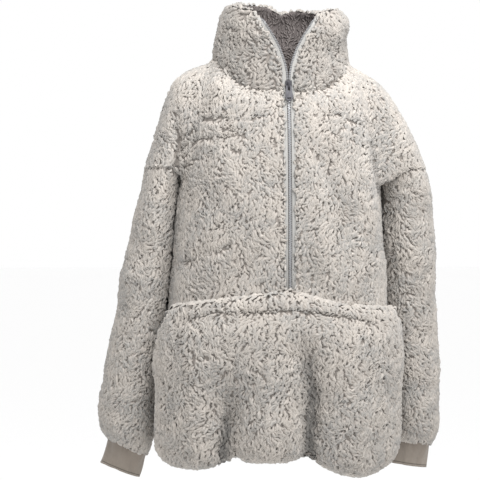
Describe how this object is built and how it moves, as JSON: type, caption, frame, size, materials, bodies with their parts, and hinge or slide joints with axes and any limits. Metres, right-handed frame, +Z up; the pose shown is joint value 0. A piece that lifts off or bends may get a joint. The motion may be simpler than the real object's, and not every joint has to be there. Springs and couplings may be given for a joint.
{
  "type": "half-zip sherpa fleece pullover",
  "caption": "Oversized half-zip pullover in curly pile fleece, worn and hollow, with a tall stand collar, kangaroo pocket, jersey cuffs and a swinging zip pull.",
  "frame": {"origin": "middle of the neck opening at the height where the collar meets the shoulders, where the wearer holds the garment up", "axes": "+Z up; the front and its zip face -Y; the wearer's right sleeve is at -X and the left sleeve at +X"},
  "size_m": [0.6118, 0.3011, 0.835],
  "materials": {
    "pile": "curly fleece pile",
    "lining": "short brushed pile",
    "jersey": "smooth knitted jersey",
    "zip_tape": "woven tape under short pile",
    "zip_metal": "dark plated metal",
    "zip_chain": "silver plated metal"
  },
  "bodies": {
    "garment": {"front": "pile", "back": "pile", "collar": "pile", "collar_lining": "lining", "sleeve_right": "pile", "sleeve_left": "pile", "pocket": "pile", "cuff_right": "jersey", "cuff_left": "jersey", "hem_band": "jersey", "zip_tape_right": "zip_tape", "zip_tape_left": "zip_tape", "zip_chain": "zip_chain", "zip_chain_right": "zip_chain", "zip_chain_left": "zip_chain", "zip_slider": "zip_metal"},
    "pull": {"zip_pull": "zip_metal"}
  },
  "joints": [
    {"name": "pull_swing", "type": "hinge", "parent": "garment", "child": "pull", "pos_m": [0, -0.12097, -0.0431], "axis": [-1, 0, 0], "range_deg": [0, 160]}
  ]
}
